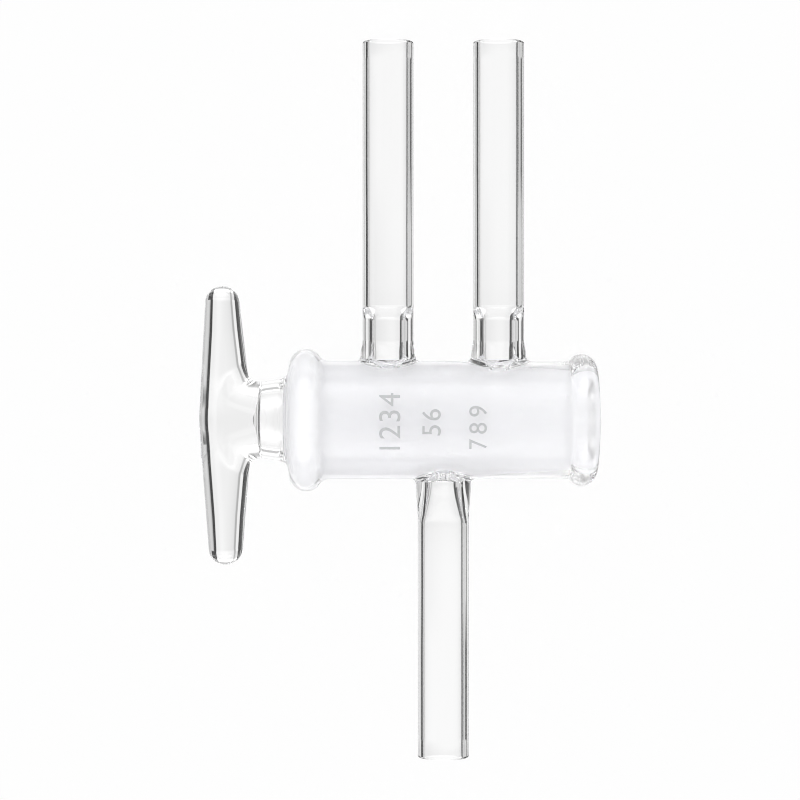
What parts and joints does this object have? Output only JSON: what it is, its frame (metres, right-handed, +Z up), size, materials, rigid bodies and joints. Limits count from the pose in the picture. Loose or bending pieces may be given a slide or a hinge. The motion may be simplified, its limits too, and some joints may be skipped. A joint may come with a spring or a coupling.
{
  "type": "glass stopcock",
  "caption": "Three-way glass stopcock for laboratory tubing, with a hollow ground plug and a T handle that turns it to choose an arm.",
  "frame": {"origin": "on the bench, under the middle of the part's box as it lies", "axes": "+Z up; +X along the barrel from the handle to the small end, 1.1 degrees down; +Y along the paired arms, 6.5 degrees down to the tip that rests on the bench"},
  "size_m": [0.078, 0.1404, 0.028],
  "materials": {
    "barrel_glass": "clear borosilicate, fire-polished outside, ground in the seat",
    "plug_glass": "clear borosilicate, ground on the taper, fire-polished handle"
  },
  "bodies": {
    "barrel": {"barrel": "barrel_glass"},
    "plug": {"plug": "plug_glass"}
  },
  "joints": [
    {"name": "plug_turn", "type": "hinge", "parent": "barrel", "child": "plug", "pos_m": [0.0088, -0.004, 0.01347], "axis": [0.9998, 0, -0.0195], "continuous": true}
  ]
}
